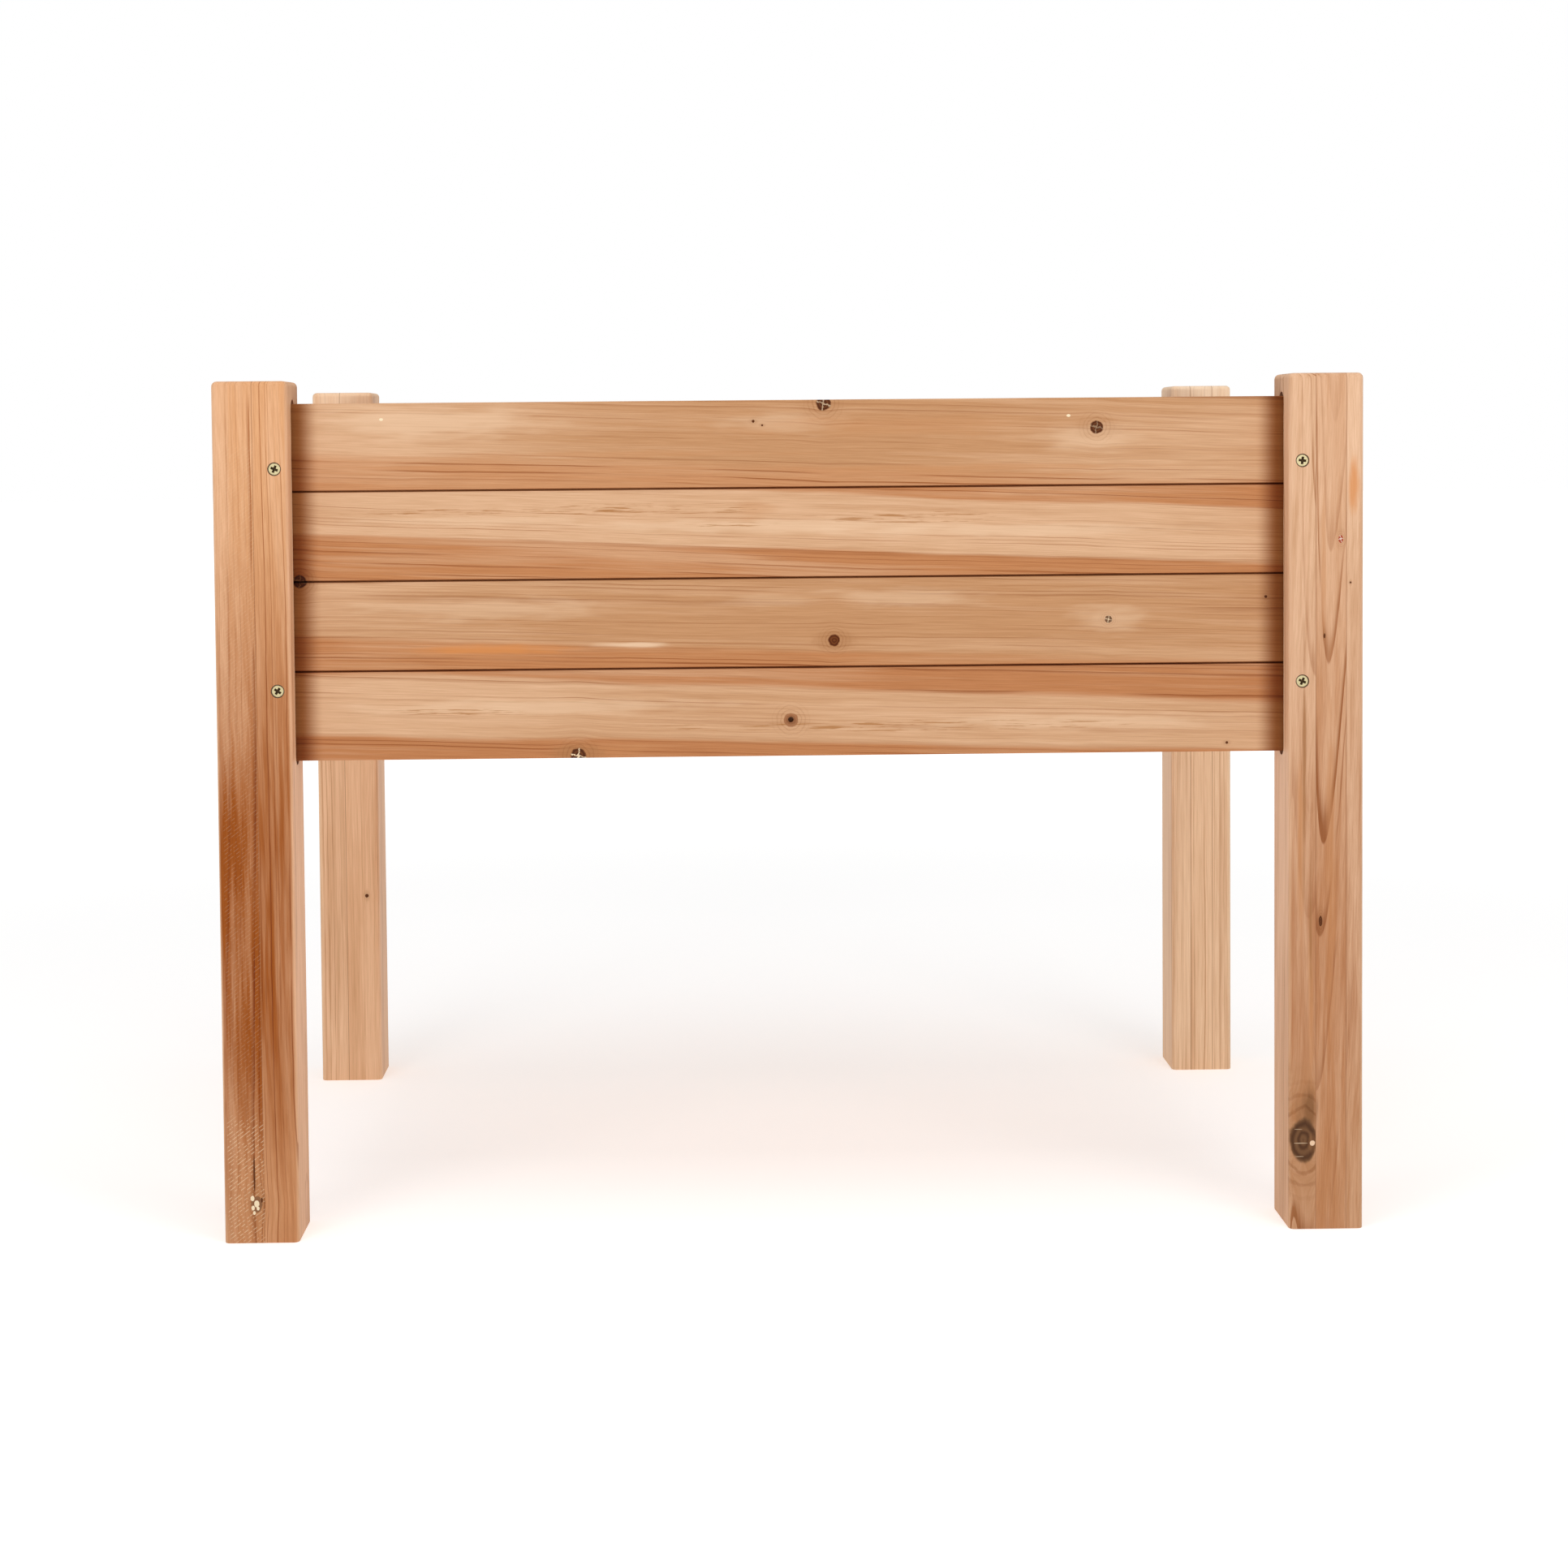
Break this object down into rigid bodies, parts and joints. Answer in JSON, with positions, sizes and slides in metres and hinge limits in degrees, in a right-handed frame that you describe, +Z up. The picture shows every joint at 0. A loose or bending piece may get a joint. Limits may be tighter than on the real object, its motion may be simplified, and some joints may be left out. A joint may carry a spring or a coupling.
{
  "type": "raised planter on legs",
  "caption": "Rectangular raised planter of softwood: square grooved corner posts run down as legs, tongue-and-groove board walls, an open top and a slatted draining floor.",
  "frame": {"origin": "at floor level, in the middle of the four feet", "axes": "+X along the length, to the right seen from the front; +Y to the rear; +Z up"},
  "size_m": [1.012, 0.65, 0.762],
  "materials": {
    "post_wood": "planed and sanded glued fir, bare, satin",
    "board_wood": "planed fir boards with knots and streaks, bare, satin",
    "batten_wood": "sawn and planed softwood battens, bare, matt",
    "slat_wood": "planed softwood slats, bare, matt",
    "screw_zinc": "yellow-passivated zinc plating, satin"
  },
  "bodies": {
    "root": {"post_front_left": "post_wood", "post_front_right": "post_wood", "post_rear_right": "post_wood", "post_rear_left": "post_wood", "front_board_1": "board_wood", "front_board_2": "board_wood", "front_board_3": "board_wood", "front_board_4": "board_wood", "right_board_1": "board_wood", "right_board_2": "board_wood", "right_board_3": "board_wood", "right_board_4": "board_wood", "rear_board_1": "board_wood", "rear_board_2": "board_wood", "rear_board_3": "board_wood", "rear_board_4": "board_wood", "left_board_1": "board_wood", "left_board_2": "board_wood", "left_board_3": "board_wood", "left_board_4": "board_wood", "front_ledger": "batten_wood", "right_ledger": "batten_wood", "rear_ledger": "batten_wood", "left_ledger": "batten_wood", "centre_bearer": "batten_wood", "floor_slat_1": "slat_wood", "floor_slat_2": "slat_wood", "floor_slat_3": "slat_wood", "floor_slat_4": "slat_wood", "floor_slat_5": "slat_wood", "floor_slat_6": "slat_wood", "floor_slat_7": "slat_wood", "post_screw_front_left_front_upper": "screw_zinc", "post_screw_front_left_front_lower": "screw_zinc", "post_screw_front_left_left_upper": "screw_zinc", "post_screw_front_left_left_lower": "screw_zinc", "post_screw_front_right_front_upper": "screw_zinc", "post_screw_front_right_front_lower": "screw_zinc", "post_screw_front_right_right_upper": "screw_zinc", "post_screw_front_right_right_lower": "screw_zinc", "post_screw_rear_right_rear_upper": "screw_zinc", "post_screw_rear_right_rear_lower": "screw_zinc", "post_screw_rear_right_right_upper": "screw_zinc", "post_screw_rear_right_right_lower": "screw_zinc", "post_screw_rear_left_rear_upper": "screw_zinc", "post_screw_rear_left_rear_lower": "screw_zinc", "post_screw_rear_left_left_upper": "screw_zinc", "post_screw_rear_left_left_lower": "screw_zinc", "front_ledger_screw_1": "screw_zinc", "front_ledger_screw_2": "screw_zinc", "front_ledger_screw_3": "screw_zinc", "right_ledger_screw_1": "screw_zinc", "right_ledger_screw_2": "screw_zinc", "rear_ledger_screw_1": "screw_zinc", "rear_ledger_screw_2": "screw_zinc", "rear_ledger_screw_3": "screw_zinc", "left_ledger_screw_1": "screw_zinc", "left_ledger_screw_2": "screw_zinc"}
  },
  "joints": []
}
